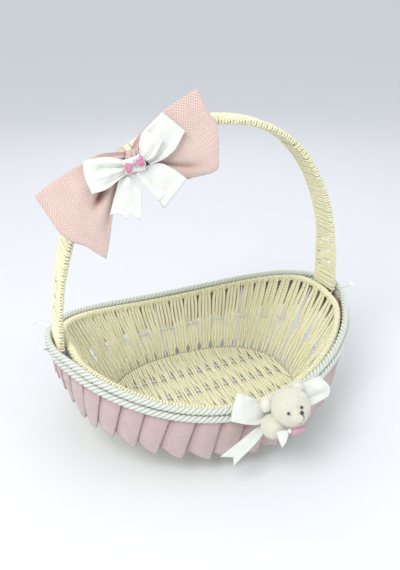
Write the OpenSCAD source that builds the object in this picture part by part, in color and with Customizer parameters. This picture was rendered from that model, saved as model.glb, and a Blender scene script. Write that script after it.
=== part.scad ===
// Oval basket of paper cord on a welded wire frame, with a fixed arched handle, a rope-trimmed rim,
// a pleated fabric skirt, ribbon bows and a small plush bear.
// X runs along the handle, -Y is the front, Z is up. The origin is the middle of the floor's underside.

/* [Rim] */
// Half the rim's length, at the wall's inner edge
rim_half_length = 150; // [140:1:165]
// Half the rim's width, at the wall's inner edge
rim_half_width = 113.6; // [106:0.1:125]
// Height of the rim at the middle of the long sides
rim_low = 67.5; // [60:0.5:80]
// How much higher the rim is at the handle's feet
rim_rise = 38; // [20:1:45]

/* [Floor] */
// Half the floor's length
floor_half_length = 99; // [90:1:108]
// Half the floor's width
floor_half_width = 70.8; // [64:0.2:78]
// Squareness of the floor's oval: 2 is an ellipse
floor_squareness = 2.33; // [2:0.01:3]

/* [Handle] */
// Half the handle's span, at the middle of its thickness
handle_half_span = 150; // [147:0.5:153]
// Height of the handle's arch above the lowest part of the rim
handle_rise = 228; // [200:1:250]
// Squareness of the handle's arch: 2 is an ellipse
handle_squareness = 2.45; // [2:0.01:3]
// Width of the wound handle
handle_width = 31; // [28:1:36]

/* [Cord and wire] */
// Diameter of the paper cord
cord_d = 2.8; // [2.4:0.1:3.2]
// Diameter of the frame's wires
wire_d = 1.8; // [1.4:0.1:2.2]
// Diameter of each rim rope
rope_d = 6.8; // [6:0.1:7.4]
// Number of upright wires
upright_count = 8; // [6:1:12]

/* [Skirt] */
// Number of pleats
pleat_count = 42; // [30:1:50]
// Drop of a pleat's fold edge below the rim
pleat_drop = 51; // [40:1:54]
// How far the hem stands outside the rim
pleat_flare = 8.5; // [7:0.5:22]

/* [Hidden] */

// Colours
cord_colour = [0.96, 0.94, 0.74];
rope_colour = [0.93, 0.95, 0.90];
wire_colour = [0.92, 0.93, 0.94];
blush_colour = [0.88, 0.76, 0.75];
satin_colour = [0.95, 0.95, 0.92];
plush_colour = [0.94, 0.90, 0.80];
pearl_colour = [0.95, 0.95, 0.96];
stone_colour = [0.90, 0.45, 0.60];
silver_colour = [0.78, 0.78, 0.80];
black_colour = [0.05, 0.04, 0.04];

// The frame's layout
tube_sides = 8;
hoop_rings = 72;
hoop_drop = 5; // from the rim's edge down to the rim hoop's centre
hoop_inset = 4; // from the rim's edge in to the rim hoop's centre
foot_tuck = 4.6; // how much further the rim hoop bends in behind the handle's feet
foot_spread = 0.26; // half the feet's reach round the rim, as a sine
base_z = wire_d / 2 + cord_d;
middle_share = 0.5; // how far up the wall the middle hoop is
floor_thickness = 2 * base_z;
handle_thickness = wire_d + 1.85 * cord_d;
wall_half_thickness = 2.8;
roll_r = wire_d / 2 + 0.9 * cord_d;

// ---- curves ----
function signed_power(v, p) = sign(v) * pow(abs(v), p);

// Point on the rim's inner top edge, moved out and down
function rim_point(a, out, down) = [
    (rim_half_length + out) * cos(a),
    (rim_half_width + out) * sin(a),
    rim_low + rim_rise * pow(cos(a), 2) - down
];

// 1 behind the handle's feet, fading to 0 round the rim
function at_foot(a) = exp(-pow(sin(a) / foot_spread, 4));

function rim_hoop_point(a) = rim_point(a, -hoop_inset - foot_tuck * at_foot(a), hoop_drop);

// Point on the floor's outline, moved out
function floor_point(a, out, z) = [
    (floor_half_length + out) * signed_power(cos(a), 2 / floor_squareness),
    (floor_half_width + out) * signed_power(sin(a), 2 / floor_squareness),
    z
];

function base_hoop_point(a) = floor_point(a, 1.5, base_z);

// Point on the wall, from 0 at the base hoop to 1 at the rim hoop
function wall_point(a, share) = (1 - share) * base_hoop_point(a) + share * rim_hoop_point(a);

// Unit vector out of the wall
function wall_normal(a, share) =
    let (
        along = wall_point(a + 0.5, share) - wall_point(a - 0.5, share),
        up = rim_hoop_point(a) - base_hoop_point(a),
        n = cross(along, up)
    ) n / norm(n);

function angles(count) = [for (i = [0 : count - 1]) i * 360 / count];

// ---- swept tubes ----
function unit(v) = v / norm(v);

function tube_ring(centre, tangent, side, r, count) =
    let (u = unit(side - (side * tangent) * tangent), w = cross(tangent, u))
    [for (k = [0 : count - 1]) centre + r * (cos(k * 360 / count) * u + sin(k * 360 / count) * w)];

function flatten(lists) = [for (l = lists) for (v = l) v];

function band_faces(from, to, count) = [
    for (k = [0 : count - 1])
        let (next = (k + 1) % count)
        for (f = [[from + k, to + next, to + k], [from + k, from + next, to + next]]) f
];

// Tube round a closed path
module closed_tube(path, side, r, count = tube_sides) {
    n = len(path);
    rings = [
        for (i = [0 : n - 1])
            tube_ring(path[i], unit(path[(i + 1) % n] - path[(i + n - 1) % n]), side, r, count)
    ];
    polyhedron(
        points = flatten(rings),
        faces = flatten([for (i = [0 : n - 1]) band_faces(i * count, ((i + 1) % n) * count, count)])
    );
}

// Tube along an open path
module open_tube(path, side, r, count = tube_sides) {
    n = len(path);
    rings = [
        for (i = [0 : n - 1])
            tube_ring(path[i], unit(path[min(i + 1, n - 1)] - path[max(i - 1, 0)]), side, r, count)
    ];
    polyhedron(
        points = flatten(rings),
        faces = concat(
            flatten([for (i = [0 : n - 2]) band_faces(i * count, (i + 1) * count, count)]),
            [[for (k = [0 : count - 1]) count - 1 - k]],
            [[for (k = [0 : count - 1]) (n - 1) * count + k]]
        )
    );
}

// Straight round bar between two points
module bar(from, to, d) {
    v = to - from;
    translate(from)
        rotate([0, acos(v.z / norm(v)), atan2(v.y, v.x)])
            cylinder(h = norm(v), d = d, $fn = 24);
}

// Closed solid between two grids of points of the same size
module slab(inner, outer) {
    rows = len(inner);
    cols = len(inner[0]);
    total = rows * cols;
    faces_flat = [
        for (i = [0 : rows - 2]) for (j = [0 : cols - 2])
            let (a = i * cols + j, b = a + 1, c = a + cols + 1, d = a + cols)
            for (f = [
                [a, b, c], [a, c, d],
                [total + a, total + c, total + b], [total + a, total + d, total + c]
            ]) f
    ];
    side_faces = flatten([
        for (i = [0 : rows - 2])
            let (a = i * cols, d = a + cols, b = a + cols - 1, c = d + cols - 1)
            [[a, d, total + d], [a, total + d, total + a], [b, total + c, c], [b, total + b, total + c]]
    ]);
    end_faces = flatten([
        for (j = [0 : cols - 2])
            let (a = j, b = j + 1, c = (rows - 1) * cols + j, d = c + 1)
            [[a, total + b, b], [a, total + a, total + b], [c, d, total + d], [c, total + d, total + c]]
    ]);
    polyhedron(
        points = concat(flatten(inner), flatten(outer)),
        faces = concat(faces_flat, side_faces, end_faces)
    );
}

// ---- wire frame ----
module rim_hoop() {
    color(wire_colour)
        closed_tube([for (a = angles(hoop_rings)) rim_hoop_point(a)], [0, 0, 1], wire_d / 2);
}

module middle_hoop() {
    color(wire_colour)
        closed_tube([for (a = angles(hoop_rings)) wall_point(a, middle_share)], [0, 0, 1], wire_d / 2);
}

module base_hoop() {
    color(wire_colour)
        closed_tube([for (a = angles(hoop_rings)) base_hoop_point(a)], [0, 0, 1], wire_d / 2);
}

base_wire_spacing = 35;

// Half length of the floor at a distance from its middle
function floor_reach(y) =
    floor_half_length * pow(1 - pow(abs(y) / floor_half_width, floor_squareness), 1 / floor_squareness);

module base_wires() {
    color(wire_colour)
        for (row = [-1 : 1])
            let (y = row * base_wire_spacing, reach = floor_reach(y))
            bar([-reach, y, base_z], [reach, y, base_z], wire_d);
}

first_upright = 7; // angle of the first upright wire

function upright_angle(i) = first_upright + i * 360 / upright_count;

module upright_wires() {
    end_gap = 0.05; // share of the wall left at each end
    hoop_gap = 0.03;
    color(wire_colour)
        for (i = [0 : upright_count - 1])
            for (span = [[end_gap, middle_share - hoop_gap], [middle_share + hoop_gap, 1 - end_gap]])
                bar(wall_point(upright_angle(i), span[0]), wall_point(upright_angle(i), span[1]), wire_d);
}

// ---- handle ----
arch_steps = 56;
leg_top = rim_low + rim_rise; // below this the handle goes straight down, between the rim roll and the ropes
foot_depth = 6.5; // how far down it is wound
wire_depth = 52; // how far down its wires go, to the middle hoop
wire_lean = 0.494; // how fast the wires slope in with the wall, going down

// The shoulder under the bow is pressed in: how deep, where along X, and over what reach
shoulder_dip = 8;
shoulder_x = -80;
shoulder_reach = 35;

function arch_point(t) =
    let (x = handle_half_span * signed_power(cos(t), 2 / handle_squareness))
    [
        x,
        rim_low + handle_rise * pow(sin(t), 2 / handle_squareness)
            - shoulder_dip * exp(-pow((x - shoulder_x) / shoulder_reach, 2))
    ];

// The angle at which the arch is at a height
arch_start = asin(pow((leg_top - rim_low) / handle_rise, handle_squareness / 2));

function leg_point(side, drop) =
    [side * (arch_point(arch_start).x - wire_lean * max(0, drop - foot_depth)), leg_top - drop];

// Handle's centre line in the XZ plane, with each leg going down through a list of drops below the rim
function handle_line(drops) = concat(
    [for (i = [len(drops) - 1 : -1 : 0]) leg_point(1, drops[i])],
    [for (i = [0 : arch_steps]) arch_point(arch_start + i * (180 - 2 * arch_start) / arch_steps)],
    [for (drop = drops) leg_point(-1, drop)]
);

module handle_wire(y) {
    color(wire_colour)
        open_tube([for (p = handle_line([foot_depth, wire_depth])) [p.x, y, p.y]], [0, 1, 0], wire_d / 2);
}

side_wire_y = handle_width / 2 - cord_d - wire_d / 2;

module handle_front_wire() handle_wire(-side_wire_y);
module handle_center_wire() handle_wire(0);
module handle_rear_wire() handle_wire(side_wire_y);

function line_normal(line, i) =
    let (v = line[min(i + 1, len(line) - 1)] - line[max(i - 1, 0)]) [v.y, -v.x] / norm(v);

// Flat band of a width round a line, extruded along Y
module handle_band(line, thickness, width) {
    last = len(line) - 1;
    rotate([90, 0, 0])
        linear_extrude(height = width, center = true)
            polygon(concat(
                [for (i = [0 : last]) line[i] + line_normal(line, i) * thickness / 2],
                [for (i = [last : -1 : 0]) line[i] - line_normal(line, i) * thickness / 2]
            ));
}

module handle_winding() {
    channel = wire_d + 0.5;
    color(cord_colour)
        difference() {
            handle_band(handle_line([foot_depth]), handle_thickness, handle_width);
            handle_band(handle_line([foot_depth + 1]), channel, 2 * side_wire_y + channel);
        }
}

// ---- windings ----
module floor_winding() {
    steps = 96;
    groove = wire_d + 0.4;
    color(cord_colour)
        difference() {
            linear_extrude(height = floor_thickness)
                polygon([for (a = angles(steps)) let (p = floor_point(a, 0, 0)) [p.x, p.y]]);
            for (row = [-1 : 1])
                translate([-floor_half_length, row * base_wire_spacing - groove / 2, base_z - groove / 2])
                    cube([2 * floor_half_length, groove, floor_thickness]);
        }
}

bay = 360 / upright_count;
panels_per_bay = 3;

// Panel of cords: one of those in the bay after an upright wire
module wall_panel(i, part, from_share, to_share) {
    cols = 3;
    upright_gap = 0.9; // angle left beside an upright wire
    panel_gap = 0.1; // angle left beside the next panel
    start = part == 0 ? upright_gap : part * bay / panels_per_bay + panel_gap;
    end = part == panels_per_bay - 1 ? bay - upright_gap : (part + 1) * bay / panels_per_bay - panel_gap;
    faces = [for (side = [-1, 1])
        [for (share = [from_share, to_share])
            [for (c = [0 : cols - 1])
                let (a = upright_angle(i) + start + c * (end - start) / (cols - 1))
                wall_point(a, share) + side * wall_normal(a, share) * wall_half_thickness
            ]
        ]
    ];
    slab(faces[0], faces[1]);
}

module wall_winding(from_share, to_share) {
    color(cord_colour)
        for (i = [0 : upright_count - 1]) for (part = [0 : panels_per_bay - 1])
            wall_panel(i, part, from_share, to_share);
}

module lower_wall_winding() wall_winding(0.05, middle_share - 0.03);
module upper_wall_winding() wall_winding(middle_share + 0.03, 0.93);

// Cord turns over the rim hoop: a channel open below, in short bends round the rim
module rim_roll() {
    bends = 24;
    steps = 3;
    channel_r = wire_d / 2 + 0.2;
    end_gap = 0.15;
    profile_angles = [-60, 0, 45, 90, 135, 180, 240];
    color(cord_colour)
        for (b = [0 : bends - 1]) {
            rings = [for (s = [0 : steps])
                let (
                    a = (b + end_gap / 15 + (1 - 2 * end_gap / 15) * s / steps) * 360 / bends,
                    centre = rim_hoop_point(a),
                    tangent = unit(rim_hoop_point(a + 0.5) - rim_hoop_point(a - 0.5)),
                    outward = unit(cross(tangent, [0, 0, 1])),
                    upward = cross(outward, tangent)
                )
                [centre, outward, upward]
            ];
            inner = [for (r = rings) [for (p = profile_angles)
                r[0] + channel_r * (cos(p) * r[1] + sin(p) * r[2])
            ]];
            outer = [for (r = rings) [for (p = profile_angles)
                r[0] + roll_r * (cos(p) * r[1] + sin(p) * r[2])
            ]];
            slab(inner, outer);
        }
}

// ---- rim ropes ----
rope_at_foot = handle_half_span + handle_thickness / 2 + rope_d / 2 - rim_half_length + 1;

// Where each rope's centre is: out and down from the wall's inner top edge
upper_rope_out = 4;
upper_rope_down = 1.2;
lower_rope_out = 6.3;
lower_rope_down = 8.1;

// Rope round the rim, pushed out where it passes outside the handle's feet
module rim_rope(out, down) {
    color(rope_colour)
        closed_tube(
            [for (a = angles(hoop_rings)) rim_point(a, out + max(0, rope_at_foot - out) * at_foot(a), down)],
            [0, 0, 1],
            rope_d / 2
        );
}

module upper_rim_rope() rim_rope(upper_rope_out, upper_rope_down);
module lower_rim_rope() rim_rope(lower_rope_out, lower_rope_down);

// ---- pleated skirt ----
cloth_thickness = 1;

// Point on a pleat's outer face: how far round, how far down, and how far it stands out
function pleat_point(a, down, out) = rim_point(a, out, down);

module pleat(i) {
    step = 360 / pleat_count;
    start = i * step + 0.03 * step;
    end = (i + 1) * step - 0.03 * step;
    top = 11.5;
    fold_lift = 3.5; // how far the fold edge stands out at the hem
    hem_rise = 7; // how much higher the tucked edge ends
    lean = 4; // angle that the hem is behind the top
    top_out = 4.2;
    // rows from top to hem, each from the tucked edge to the fold edge
    outer = [
        [pleat_point(start, top, top_out + 0.2), pleat_point(end, top, top_out + 1.6)],
        [
            pleat_point(start - lean, pleat_drop - hem_rise, pleat_flare - fold_lift),
            pleat_point(end - lean, pleat_drop, pleat_flare)
        ]
    ];
    inner = [for (row = outer) [for (p = row)
        let (flat = unit([p.x, p.y, 0])) p - flat * cloth_thickness
    ]];
    slab(inner, outer);
}

module ruffle() {
    color(blush_colour)
        for (i = [0 : pleat_count - 1]) pleat(i);
}

// ---- pearl-headed pins ----
pearl_d = 5;
pin_d = 1.2;
// Where each pin leaves the rope, and where its pearl is
pins = [
    [[-154, 33, 104.5], [-164.5, 41, 106.5]],
    [[-160.5, -5, 100], [-166.5, -8, 103.5]],
    [[156, -20.5, 106.5], [166, -22, 110]],
    [[154, 31, 104.5], [163.5, 37, 107.5]]
];
pin_depth = 5;

module pin_shafts() {
    color(silver_colour)
        for (p = pins)
            let (v = unit(p[1] - p[0])) bar(p[0] - v * pin_depth, p[1] - v * pearl_d * 0.4, pin_d);
}

module pin_pearls() {
    color(pearl_colour)
        for (p = pins) difference() {
            translate(p[1]) sphere(d = pearl_d, $fn = 24);
            let (v = unit(p[1] - p[0])) bar(p[0], p[1] - v * pearl_d * 0.4, pin_d);
        }
}

// ---- bow on the handle ----
bow_place = [-75, -25.7, 269.2];
bow_turn = -8; // turned to its left
bow_tilt = 15.2; // leaning back

module at_bow(height = 0) {
    translate(bow_place)
        rotate([90 - bow_tilt, 0, bow_turn])
            translate([0, 0, height])
                children();
}

// Ribbon piece of an outline, lying in the bow's plane
module ribbon(outline, low, high) {
    at_bow(low) linear_extrude(height = high - low) polygon(outline);
}

pink_back = -2;
pink_front = 8;
band_back = -6.4;

module pink_bow_right_wing() {
    color(blush_colour)
        ribbon([[7, -5], [45, -14], [69, -10], [72, 23], [64, 40], [57, 58], [26, 41], [4, 14]],
            pink_back, pink_front);
}

module pink_bow_left_wing() {
    color(blush_colour)
        ribbon([[-7, 12], [-42, 4], [-80, -18], [-64, -47], [-51, -57], [-30, -73], [-23, -51], [-12, -12]],
            pink_back, pink_front);
}

// Gathered middle of the pink bow, which rests on the strap round the handle
module pink_bow_band() {
    color(blush_colour)
        ribbon([[6.6, -5], [3.6, 14], [-6.6, 12], [-11.4, -12]], band_back, pink_front);
}

strap_thickness = 1.2;
strap_centre = 117; // where it is on the handle's arch, as the arch's own angle
strap_reach = 3.4;

function arch_stretch(reach) = [
    for (i = [0 : 4]) arch_point(strap_centre - reach + i * reach / 2)
];

// Ribbon strap that holds the bow to the handle
module bow_strap() {
    gap = 0.3;
    color(blush_colour)
        difference() {
            handle_band(arch_stretch(strap_reach), handle_thickness + 2 * (strap_thickness + gap),
                handle_width + 2 * (strap_thickness + gap));
            handle_band(arch_stretch(strap_reach + 2), handle_thickness + 2 * gap, handle_width + 2 * gap);
        }
}

satin_back = 8.3;
satin_front = 16;

module satin_left_loop() {
    color(satin_colour)
        ribbon([[-10.5, 7], [-23, 9], [-42, 5], [-38, -20], [-15, -12], [-10.5, -6]], satin_back, satin_front);
}

module satin_outer_right_loop() {
    color(satin_colour)
        ribbon([[6, 8], [7, 26], [24, 40], [43, 23], [29, 5]], satin_back, satin_back + 4);
}

module satin_inner_right_loop() {
    color(satin_colour)
        ribbon([[6, 6], [7, 24], [24, 18], [16, 5]], satin_back + 4.3, satin_front);
}

module satin_left_tail() {
    color(satin_colour)
        ribbon([[-9, -7.5], [-26, -39], [-17, -39], [-10, -43], [-8, -37], [0, -45], [3, -21], [0, -7.5]],
            satin_back, satin_back + 3);
}

module satin_right_tail() {
    color(satin_colour)
        ribbon([[6, 0], [6, -7.3], [4.5, -10], [16, -30], [21, -27], [20, -36], [42, -14], [28, 0]],
            satin_back, satin_back + 3);
}

module satin_knot() {
    color(satin_colour)
        ribbon([[5.7, -7], [5.7, 9], [-10.2, 7], [-10.2, -7]], satin_back, satin_front);
}

// Bow-shaped brooch on the knot
brooch_place = [-1.6, 0.5];
brooch_turn = 8;
brooch_back = satin_front + 0.2;
lobe_spacing = 6;
lobe_d = 7;
drop_offset = -7;

module at_brooch() {
    at_bow(brooch_back) translate(brooch_place) rotate([0, 0, brooch_turn]) children();
}

module brooch_setting() {
    plate = 1.2;
    color(silver_colour)
        at_brooch() {
            for (side = [-1, 1])
                translate([side * lobe_spacing, 0, 0]) cylinder(h = plate, d = lobe_d, $fn = 32);
            translate([-lobe_spacing, -1.5, 0]) cube([2 * lobe_spacing, 3, plate]);
            translate([-1, drop_offset, 0]) cube([2, -drop_offset, plate]);
            translate([0, drop_offset, 0]) cylinder(h = plate, d = 3.4, $fn = 24);
        }
}

// A cut stone standing on the setting
module stone(x, y, d) {
    translate([x, y, 1.4]) {
        cylinder(h = 1, d = d, $fn = 8);
        translate([0, 0, 1]) cylinder(h = 1, d1 = d, d2 = d * 0.6, $fn = 8);
    }
}

module brooch_stones() {
    color(stone_colour)
        at_brooch() {
            for (side = [-1, 1]) stone(side * lobe_spacing, 0, 5.4);
            stone(0, 0, 3);
            stone(0, drop_offset, 2.6);
        }
}

// ---- bow and bear on the front of the rim ----
bear_place = [12.9, -124.1, 65.8];
bear_turn = -6;
bear_tilt = 30;

module at_bear() {
    translate(bear_place) rotate([90 - bear_tilt, 0, bear_turn]) children();
}

// Ribbon piece of an outline, lying in the rim bow's plane
module rim_ribbon(outline, low, high) {
    at_bear() translate([0, 0, low]) linear_extrude(height = high - low) polygon(outline);
}

rim_bow_back = 1;
rim_bow_front = 8;
knot_front = 3.8;

head_place = [6.6, 0.6, 21.6];
head_d = 35;
muzzle_place = [7.1, -4.4, 33.1];
muzzle_d = 16;
body_place = [-9, -14, 14];
body_d = 22;
skin_gap = 0.2;

module head_ball(gap = 0) {
    translate(head_place) sphere(d = head_d + 2 * gap, $fn = 40);
}

module rim_bow_left_loop() {
    color(satin_colour)
        difference() {
            rim_ribbon([[-8, 6], [-32, 18], [-42, -5], [-17, -12.6], [-8, -6]], rim_bow_back, rim_bow_front);
            at_bear() head_ball(skin_gap);
            at_bear() body_ball(skin_gap);
        }
}

module rim_bow_right_loop() {
    color(satin_colour)
        difference() {
            rim_ribbon([[13, 6], [23, 16], [42, 20], [50, 8], [48, 1], [32, -5], [13, -6]],
                rim_bow_back, rim_bow_front + 8);
            at_bear() head_ball(skin_gap);
        }
}

module rim_bow_knot() {
    color(satin_colour)
        rim_ribbon([[-7.7, 6], [12.7, 6], [12.7, -6], [-7.7, -6]], rim_bow_back, knot_front);
}

module rim_bow_tail() {
    color(satin_colour)
        difference() {
            rim_ribbon([[-8.6, -7.2], [-16.8, -13.4], [-57, -33], [-45, -36], [-46, -43], [-17.6, -24], [-6, -6.7]],
                rim_bow_back, rim_bow_back + 1.4);
            at_bear() body_ball(skin_gap);
        }
}

module body_ball(gap = 0) {
    translate(body_place) sphere(d = body_d + 2 * gap, $fn = 32);
}

// Ball that is cut back to rest on the head
module ball_on_head(place, d) {
    v = place - head_place;
    translate(head_place)
        rotate([0, acos(v.z / norm(v)), atan2(v.y, v.x)])
            rotate_extrude($fn = 48)
                intersection() {
                    difference() {
                        translate([0, norm(v)]) circle(d = d, $fn = 48);
                        circle(d = head_d + 2 * skin_gap, $fn = 96);
                    }
                    square([d, norm(v) + d]);
                }
}

module bear_head() {
    color(plush_colour) at_bear() head_ball();
}

module bear_muzzle() {
    color(plush_colour) at_bear() ball_on_head(muzzle_place, muzzle_d);
}

module bear_ears() {
    ear_d = 12;
    color(plush_colour)
        at_bear()
            for (ear = [[-13.5, 6, 15.5], [15, 16.5, 22.5]]) ball_on_head(ear, ear_d);
}

module bear_body() {
    color(plush_colour) at_bear() ball_on_head(body_place, body_d);
}

// Small ball that rests on the head or muzzle, out along a direction
module face_bead(centre, centre_r, direction, d) {
    translate(centre + unit(direction) * (centre_r + d * 0.5)) sphere(d = d, $fn = 20);
}

module bear_eyes() {
    color(black_colour)
        at_bear() {
            face_bead(head_place, head_d / 2, [-8.4, -1.7, 14.4], 2.6);
            face_bead(head_place, head_d / 2, [1.85, 1.2, 16.1], 2.6);
        }
}

module bear_nose() {
    color(black_colour)
        at_bear() face_bead(muzzle_place, muzzle_d / 2, [0, 2, 7.6], 3.4);
}

tie_place = [0.7, -18.5, 25.3];
tie_knot_d = 4.6;
tie_wing_thickness = 3;

module at_tie() {
    at_bear() translate(tie_place) children();
}

module bear_tie_knot() {
    color(satin_colour) at_tie() translate([0, 0, 1.5]) sphere(d = tie_knot_d, $fn = 24);
}

module bear_tie_white_wing() {
    color(satin_colour)
        at_tie() linear_extrude(height = tie_wing_thickness)
            polygon([[-2.5, 1], [-11.6, 1.9], [-10.5, -5], [-8.8, -11.7], [-2.5, -3]]);
}

module bear_tie_pink_wing() {
    color(stone_colour)
        at_tie() linear_extrude(height = tie_wing_thickness)
            polygon([[2.5, -4.5], [2.5, 0.5], [14.5, 1], [14, -1.5]]);
}

rim_hoop();
middle_hoop();
base_hoop();
base_wires();
upright_wires();
handle_front_wire();
handle_center_wire();
handle_rear_wire();
floor_winding();
lower_wall_winding();
upper_wall_winding();
rim_roll();
handle_winding();
upper_rim_rope();
lower_rim_rope();
ruffle();
pin_shafts();
pin_pearls();
pink_bow_left_wing();
pink_bow_right_wing();
pink_bow_band();
bow_strap();
satin_left_loop();
satin_outer_right_loop();
satin_inner_right_loop();
satin_left_tail();
satin_right_tail();
satin_knot();
brooch_setting();
brooch_stones();
rim_bow_left_loop();
rim_bow_right_loop();
rim_bow_tail();
rim_bow_knot();
bear_head();
bear_muzzle();
bear_ears();
bear_body();
bear_eyes();
bear_nose();
bear_tie_white_wing();
bear_tie_pink_wing();
bear_tie_knot();
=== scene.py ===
import math

import bpy
import numpy as np
from mathutils import Matrix, Vector


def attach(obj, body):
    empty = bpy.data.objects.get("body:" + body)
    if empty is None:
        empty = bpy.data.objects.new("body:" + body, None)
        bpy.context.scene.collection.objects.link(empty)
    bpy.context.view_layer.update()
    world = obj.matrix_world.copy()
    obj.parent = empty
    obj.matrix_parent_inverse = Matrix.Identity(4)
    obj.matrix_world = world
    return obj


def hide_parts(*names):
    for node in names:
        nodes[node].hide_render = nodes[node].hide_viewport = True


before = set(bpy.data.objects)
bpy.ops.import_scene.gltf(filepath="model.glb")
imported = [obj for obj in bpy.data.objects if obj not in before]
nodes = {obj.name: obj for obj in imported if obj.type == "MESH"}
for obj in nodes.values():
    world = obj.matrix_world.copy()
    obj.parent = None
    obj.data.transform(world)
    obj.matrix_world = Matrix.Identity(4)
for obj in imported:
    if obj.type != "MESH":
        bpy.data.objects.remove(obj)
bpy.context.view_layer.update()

MM = 0.001  # every length below is in millimetres until a mesh is made
rng = np.random.default_rng(11)

# ---- the frame's layout, as the CAD source has it ----
RIM_LENGTH, RIM_WIDTH, RIM_LOW, RIM_RISE = 150.0, 113.6, 67.5, 38.0
FLOOR_LENGTH, FLOOR_WIDTH, FLOOR_POWER = 99.0, 70.8, 2 / 2.33
HOOP_DROP, HOOP_INSET, FOOT_TUCK, FOOT_SPREAD = 5.0, 4.0, 4.6, 0.26
WIRE_R, CORD_R = 0.9, 1.4
WEAVE = WIRE_R + CORD_R  # from a wire's middle to that of a cord beside it
BASE_Z = WIRE_R + 2 * CORD_R
BAYS, FIRST_UPRIGHT = 8, 7.0
ARCH_SPAN, ARCH_RISE, ARCH_POWER = 150.0, 228.0, 2 / 2.45
LEG_TOP, FOOT_DEPTH = RIM_LOW + RIM_RISE, 6.5
HANDLE_WIDE, HANDLE_DEEP = 15.5, 3.49  # half the width and half the depth of its winding
WALL_FOOT = 1.5  # how far the wall starts outside the floor


def rim_point(a, out=0.0, down=0.0):
    a = np.radians(a)
    return np.stack([(RIM_LENGTH + out) * np.cos(a), (RIM_WIDTH + out) * np.sin(a),
                     RIM_LOW + RIM_RISE * np.cos(a) ** 2 - down], -1)


def at_foot(a):
    return np.exp(-(np.sin(np.radians(a)) / FOOT_SPREAD) ** 4)


def rim_hoop_point(a):
    return rim_point(a, -HOOP_INSET - FOOT_TUCK * at_foot(a), HOOP_DROP)


def floor_point(a, out, z):
    a = np.radians(np.asarray(a, float))
    c, s = np.cos(a), np.sin(a)
    return np.stack([(FLOOR_LENGTH + out) * np.sign(c) * abs(c) ** FLOOR_POWER,
                     (FLOOR_WIDTH + out) * np.sign(s) * abs(s) ** FLOOR_POWER, np.full_like(a, z)], -1)


def wall_point(a, share):
    share = np.asarray(share, float)[..., None]
    return (1 - share) * floor_point(a, WALL_FOOT, BASE_Z) + share * rim_hoop_point(a)


def unit(v):
    return v / np.maximum(np.linalg.norm(v, axis=-1, keepdims=True), 1e-12)


def bump(x):
    return np.exp(-x * x)


def ramp(x, low, high):
    t = np.clip((x - low) / (high - low), 0, 1)
    return t * t * (3 - 2 * t)


def lengths(points):
    return np.concatenate([[0], np.cumsum(np.linalg.norm(np.diff(points, axis=0), axis=1))])


def columns_at(t, s, columns):
    return np.stack([np.interp(t, s, columns[:, k]) for k in range(columns.shape[1])], 1)


# ---- meshes ----
class Pile:
    """Points, faces and point attributes of one piece, gathered part by part."""

    def __init__(self):
        self.points, self.faces, self.data, self.count = [], [], {}, 0

    def add(self, points, faces, **data):
        self.points.append(points)
        self.faces += [f + self.count for f in faces]
        for key, value in data.items():
            self.data.setdefault(key, []).append(np.broadcast_to(value, (len(points),) + np.shape(value)[1:])
                                                 if np.ndim(value) else np.full(len(points), float(value)))
        self.count += len(points)

    def mesh(self, name, smooth=True):
        mesh = bpy.data.meshes.new(name)
        points = np.concatenate(self.points) * MM
        mesh.vertices.add(len(points))
        mesh.vertices.foreach_set("co", points.ravel())
        loops = np.concatenate([f.ravel() for f in self.faces])
        sizes = np.concatenate([np.full(len(f), f.shape[1]) for f in self.faces])
        mesh.loops.add(len(loops))
        mesh.loops.foreach_set("vertex_index", loops)
        mesh.polygons.add(len(sizes))
        mesh.polygons.foreach_set("loop_start", np.concatenate([[0], np.cumsum(sizes)[:-1]]))
        mesh.polygons.foreach_set("use_smooth", np.full(len(sizes), smooth))
        mesh.update(calc_edges=True)
        for key, value in self.data.items():
            value = np.concatenate(value)
            kind, field = ("FLOAT_VECTOR", "vector") if value.ndim == 2 else ("FLOAT", "value")
            mesh.attributes.new(key, kind, "POINT").data.foreach_set(field, value.ravel())
        return mesh


def piece(name, mesh, material, replaces=()):
    """A new piece of the object, riding on the one body."""
    obj = bpy.data.objects.new(name, mesh)
    bpy.context.scene.collection.objects.link(obj)
    mesh.materials.append(material)
    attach(obj, "root")
    if replaces:
        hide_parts(*replaces)
    return obj


def tube_faces(rings, sides, closed=False):
    i = np.arange(rings if closed else rings - 1)[:, None]
    k = np.arange(sides)[None, :]
    j, m = (i + 1) % rings, (k + 1) % sides
    return np.stack([i * sides + k, i * sides + m, j * sides + m, j * sides + k], -1).reshape(-1, 4)


def cloth_faces(rows, cols, closed):
    i, j = np.arange(rows if closed else rows - 1)[:, None], np.arange(cols - 1)[None, :]
    m = (i + 1) % rows
    return np.stack([i * cols + j, m * cols + j, m * cols + j + 1, i * cols + j + 1], -1).reshape(-1, 4)


TWO_PLY = np.array([1, 0.97, 0.86, 0.64, 0.86, 0.97] * 2)
ROUND = np.ones(10)


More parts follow.
